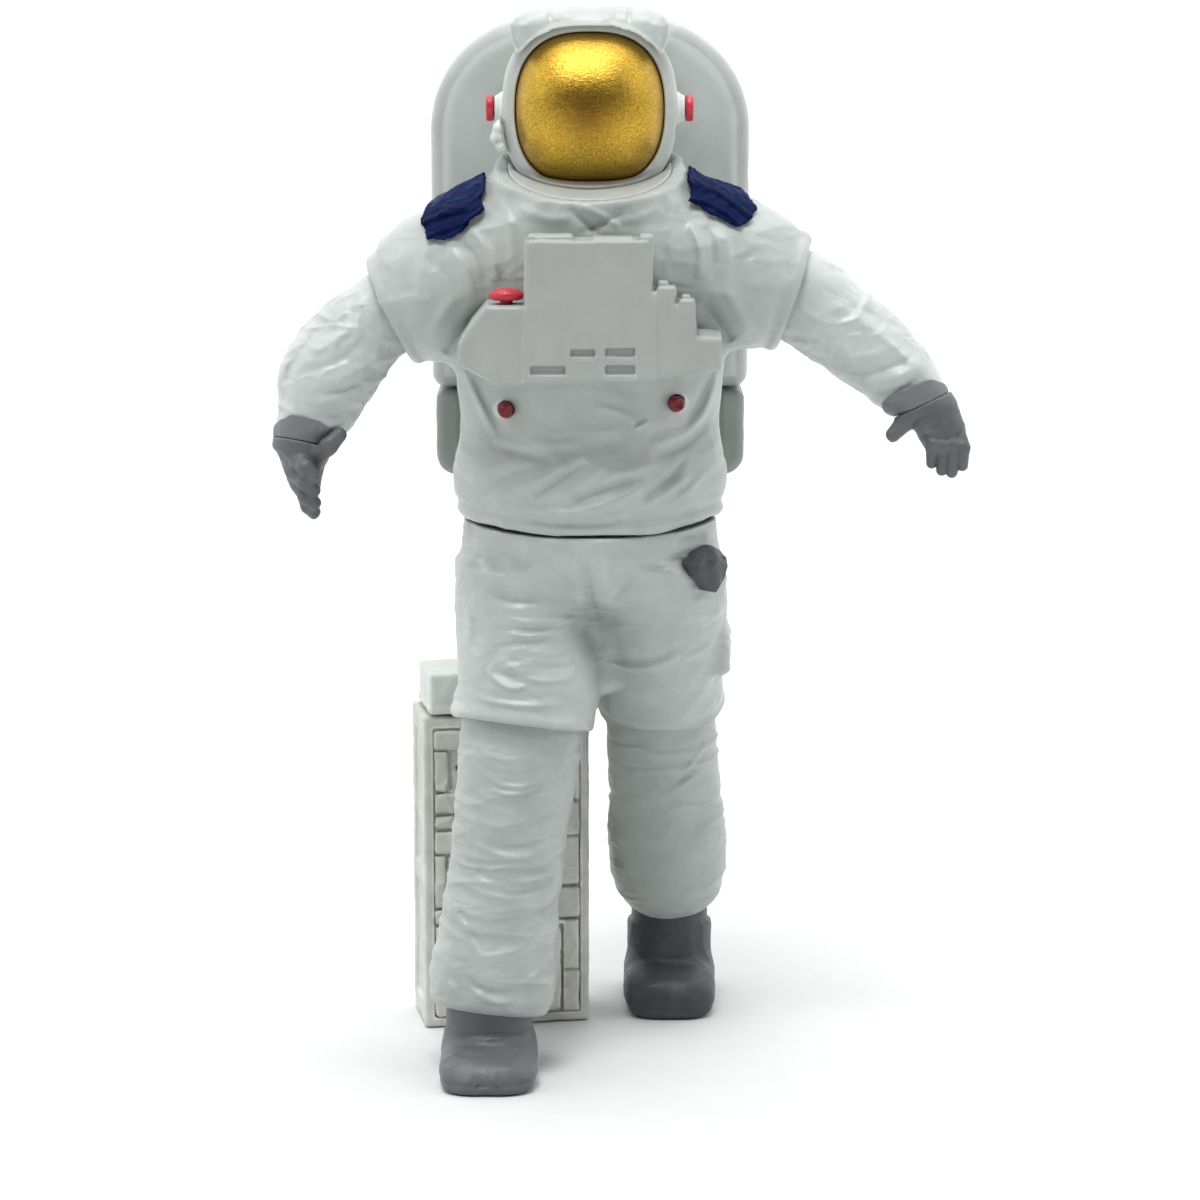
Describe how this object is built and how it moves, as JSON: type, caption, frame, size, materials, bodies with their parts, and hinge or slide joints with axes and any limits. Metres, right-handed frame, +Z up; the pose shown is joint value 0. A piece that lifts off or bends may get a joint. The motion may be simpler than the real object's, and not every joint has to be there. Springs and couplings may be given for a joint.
{
  "type": "toy figure",
  "caption": "Walking astronaut figure in a white spacesuit with gold visor, backpack and an equipment case behind one leg; swivel joints at the suit's seams.",
  "frame": {"origin": "middle of the bounding box, on the ground", "axes": "+Z up, the figure faces -Y, its left side is at +X"},
  "size_m": [0.0688, 0.0422, 0.1047],
  "materials": {
    "suit_white": "satin off-white paint on soft moulded plastic",
    "hard_white": "satin off-white paint on hard moulded plastic",
    "case_grey": "matt warm grey paint with a dark wash in the recesses",
    "glove_grey": "matt dark grey paint",
    "navy_blue": "brushed-on navy paint",
    "signal_red": "glossy red paint",
    "visor_gold": "metallic gold paint, finely speckled",
    "bubble_black": "dark glossy plastic",
    "peg_grey": "unpainted grey plastic",
    "screw_steel": "plain steel"
  },
  "bodies": {
    "torso": {"torso_front_shell": "suit_white", "torso_back_shell": "suit_white", "neck_ring": "hard_white", "torso_screw": "screw_steel", "chest_control_module": "hard_white", "module_purge_knob": "signal_red", "right_belly_connector": "signal_red", "left_belly_connector": "signal_red", "right_shoulder_patch": "navy_blue", "left_shoulder_patch": "navy_blue"},
    "helmet": {"helmet_hood": "hard_white", "helmet_crown": "hard_white", "helmet_bubble": "bubble_black", "neck_peg": "peg_grey", "right_pivot_boss": "hard_white", "right_pivot_pin": "signal_red", "left_pivot_boss": "hard_white", "left_pivot_pin": "signal_red", "hood_latch": "hard_white"},
    "visor": {"gold_visor": "visor_gold"},
    "right_arm": {"right_sleeve": "suit_white", "right_arm_peg": "peg_grey", "right_wrist_peg": "peg_grey"},
    "left_arm": {"left_sleeve": "suit_white", "left_arm_peg": "peg_grey", "left_wrist_peg": "peg_grey"},
    "right_hand": {"right_glove": "glove_grey"},
    "left_hand": {"left_glove": "glove_grey"},
    "hips": {"trousers": "suit_white", "waist_peg": "peg_grey", "hip_tether_pad": "glove_grey"},
    "right_leg": {"right_lower_leg": "suit_white", "right_knee_peg": "peg_grey"},
    "left_leg": {"left_lower_leg": "suit_white", "left_knee_peg": "peg_grey"},
    "right_foot": {"right_boot": "glove_grey", "right_ankle_peg": "peg_grey"},
    "left_foot": {"left_boot": "glove_grey", "left_ankle_peg": "peg_grey"},
    "backpack": {"backpack_shell": "suit_white", "backpack_front_panel": "hard_white", "oxygen_pack": "suit_white", "backpack_peg_1": "peg_grey", "backpack_peg_2": "peg_grey"},
    "case": {"case_shell": "case_grey", "case_front_panel": "case_grey", "case_lid": "suit_white", "case_pouch": "case_grey", "case_peg": "peg_grey"}
  },
  "joints": [
    {"name": "helmet_turn", "type": "hinge", "parent": "torso", "child": "helmet", "pos_m": [-0.0032, -0.0038, 0.0947], "axis": [0, 0, 1], "range_deg": [-20, 20]},
    {"name": "visor_lift", "type": "hinge", "parent": "helmet", "child": "visor", "pos_m": [-0.0032, -0.0038, 0.0947], "axis": [-1, 0, 0], "range_deg": [0, 70]},
    {"name": "right_arm_swivel", "type": "hinge", "parent": "torso", "child": "right_arm", "pos_m": [-0.0229, -0.0039, 0.0748], "axis": [-0.9023, 0, -0.4311], "continuous": true},
    {"name": "left_arm_swivel", "type": "hinge", "parent": "torso", "child": "left_arm", "pos_m": [0.0167, -0.0039, 0.0766], "axis": [0.9569, 0, -0.2903], "continuous": true},
    {"name": "right_wrist_swivel", "type": "hinge", "parent": "right_arm", "child": "right_hand", "pos_m": [-0.0315, -0.0065, 0.0622], "axis": [-0.1998, -0.1998, -0.9592], "continuous": true},
    {"name": "left_wrist_swivel", "type": "hinge", "parent": "left_arm", "child": "left_hand", "pos_m": [0.0294, -0.0064, 0.066], "axis": [0.4198, -0.12, -0.8996], "continuous": true},
    {"name": "waist_turn", "type": "hinge", "parent": "torso", "child": "hips", "pos_m": [-0.0032, -0.0034, 0.056], "axis": [0, 0, 1], "range_deg": [-12, 12]},
    {"name": "right_leg_swivel", "type": "hinge", "parent": "hips", "child": "right_leg", "pos_m": [-0.0099, -0.007, 0.0342], "axis": [0.115, 0.1649, 0.9796], "range_deg": [0, 20]},
    {"name": "left_leg_swivel", "type": "hinge", "parent": "hips", "child": "left_leg", "pos_m": [0.004, 0.0034, 0.0342], "axis": [-0.046, -0.4063, 0.9126], "range_deg": [-5, 25]},
    {"name": "right_boot_turn", "type": "hinge", "parent": "right_leg", "child": "right_foot", "pos_m": [-0.0132, -0.01173, 0.00609], "axis": [0, 0, 1], "range_deg": [-30, 30]},
    {"name": "left_boot_turn", "type": "hinge", "parent": "left_leg", "child": "left_foot", "pos_m": [0.00512, 0.01331, 0.01193], "axis": [0, 0, 1], "range_deg": [-15, 30]},
    {"name": "backpack_pull", "type": "slide", "parent": "torso", "child": "backpack", "axis": [0, 1, 0], "range_m": [0, 0.01]},
    {"name": "case_pull", "type": "slide", "parent": "right_leg", "child": "case", "axis": [-0.1736, 0.9848, 0], "range_m": [0, 0.012]}
  ]
}
